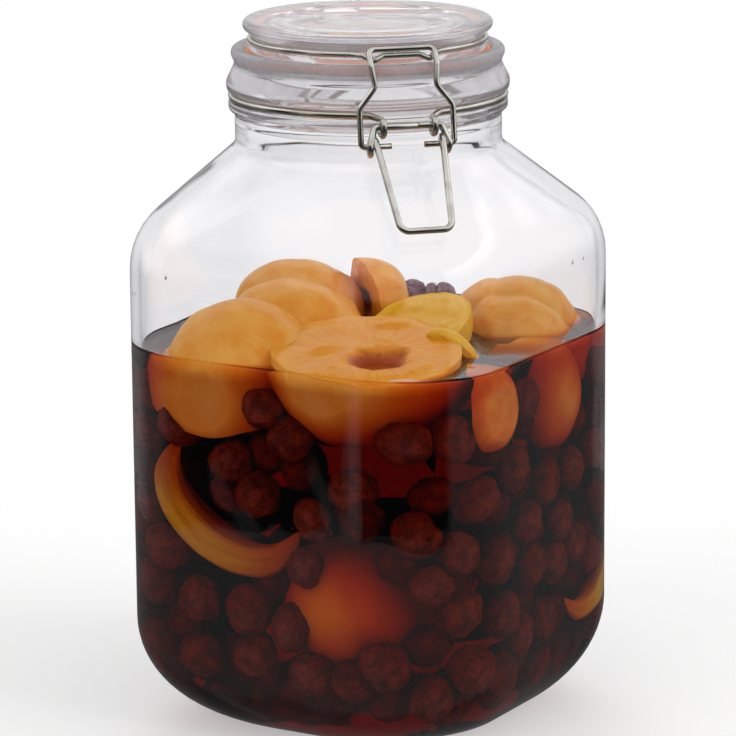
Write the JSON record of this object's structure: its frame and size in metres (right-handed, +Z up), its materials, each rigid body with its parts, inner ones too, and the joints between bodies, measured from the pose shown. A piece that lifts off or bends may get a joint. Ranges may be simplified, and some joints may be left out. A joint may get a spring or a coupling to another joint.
{
  "type": "swing-top canning jar",
  "caption": "Square glass canning jar with a glass lid, rubber gasket and wire swing-top clasp, filled with fruit in syrup.",
  "frame": {"origin": "middle of the base, on the surface that the jar stands on", "axes": "+Z up through the mouth; -Y towards the clasp, which stands over one upright corner; +Y towards the lid's hinge"},
  "size_m": [0.1994, 0.1994, 0.289],
  "materials": {
    "jar_glass": "clear pressed glass",
    "lid_glass": "clear pressed glass",
    "gasket_rubber": "smooth orange rubber",
    "steel_wire": "bright drawn wire",
    "syrup": "clear dark red liquid",
    "peach_flesh": "wet cooked fruit",
    "cherry_skin": "wet dark skin"
  },
  "bodies": {
    "jar": {"jar_body": "jar_glass", "neck_wire": "steel_wire", "syrup": "syrup", "peach_pit_up": "peach_flesh", "peach_left": "peach_flesh", "peach_middle": "peach_flesh", "peach_back_left": "peach_flesh", "peach_back": "peach_flesh", "peach_flesh_up": "peach_flesh", "peach_right": "peach_flesh", "peach_back_right": "peach_flesh", "peach_low_left": "peach_flesh", "peach_low_front": "peach_flesh", "peach_low_right": "peach_flesh", "peach_side_front": "peach_flesh", "peach_side_back": "peach_flesh", "cherry_a": "cherry_skin", "cherry_b": "cherry_skin", "cherry_c": "cherry_skin", "cherry_d": "cherry_skin", "cherry_e": "cherry_skin", "cherry_f": "cherry_skin", "cherry_g": "cherry_skin", "cherry_h": "cherry_skin", "cherry_i": "cherry_skin", "cherry_j": "cherry_skin", "cherry_k": "cherry_skin", "cherry_l": "cherry_skin", "cherry_m": "cherry_skin", "cherry_n": "cherry_skin", "cherry_o": "cherry_skin", "cherry_p": "cherry_skin", "cherry_q": "cherry_skin", "cherry_r": "cherry_skin", "cherry_s": "cherry_skin", "cherry_t": "cherry_skin", "cherry_u": "cherry_skin", "cherry_v": "cherry_skin", "cherry_w": "cherry_skin", "cherry_x": "cherry_skin", "cherry_y": "cherry_skin", "cherry_z": "cherry_skin", "cherry_ba": "cherry_skin", "cherry_bb": "cherry_skin", "cherry_bc": "cherry_skin", "cherry_bd": "cherry_skin", "cherry_be": "cherry_skin", "cherry_bf": "cherry_skin", "cherry_bg": "cherry_skin", "cherry_bh": "cherry_skin", "cherry_bi": "cherry_skin"},
    "lid": {"lid_glass": "lid_glass", "gasket": "gasket_rubber", "lid_wire": "steel_wire"},
    "lever": {"lever": "steel_wire"},
    "bail": {"bail": "steel_wire"}
  },
  "joints": [
    {"name": "lid_hinge", "type": "hinge", "parent": "jar", "child": "lid", "pos_m": [0, 0.062, 0.276], "axis": [-1, 0, 0], "range_deg": [0, 110]},
    {"name": "lever_pivot", "type": "hinge", "parent": "jar", "child": "lever", "pos_m": [0, -0.061, 0.2542], "axis": [-1, 0, 0], "range_deg": [0, 90]},
    {"name": "bail_hinge", "type": "hinge", "parent": "lever", "child": "bail", "pos_m": [0, -0.061, 0.2465], "axis": [-1, 0, 0], "range_deg": [-130, 0]}
  ],
  "couplings": [
    {"joint": "bail_hinge", "follows": "lever_pivot", "ratio": -1.4}
  ]
}
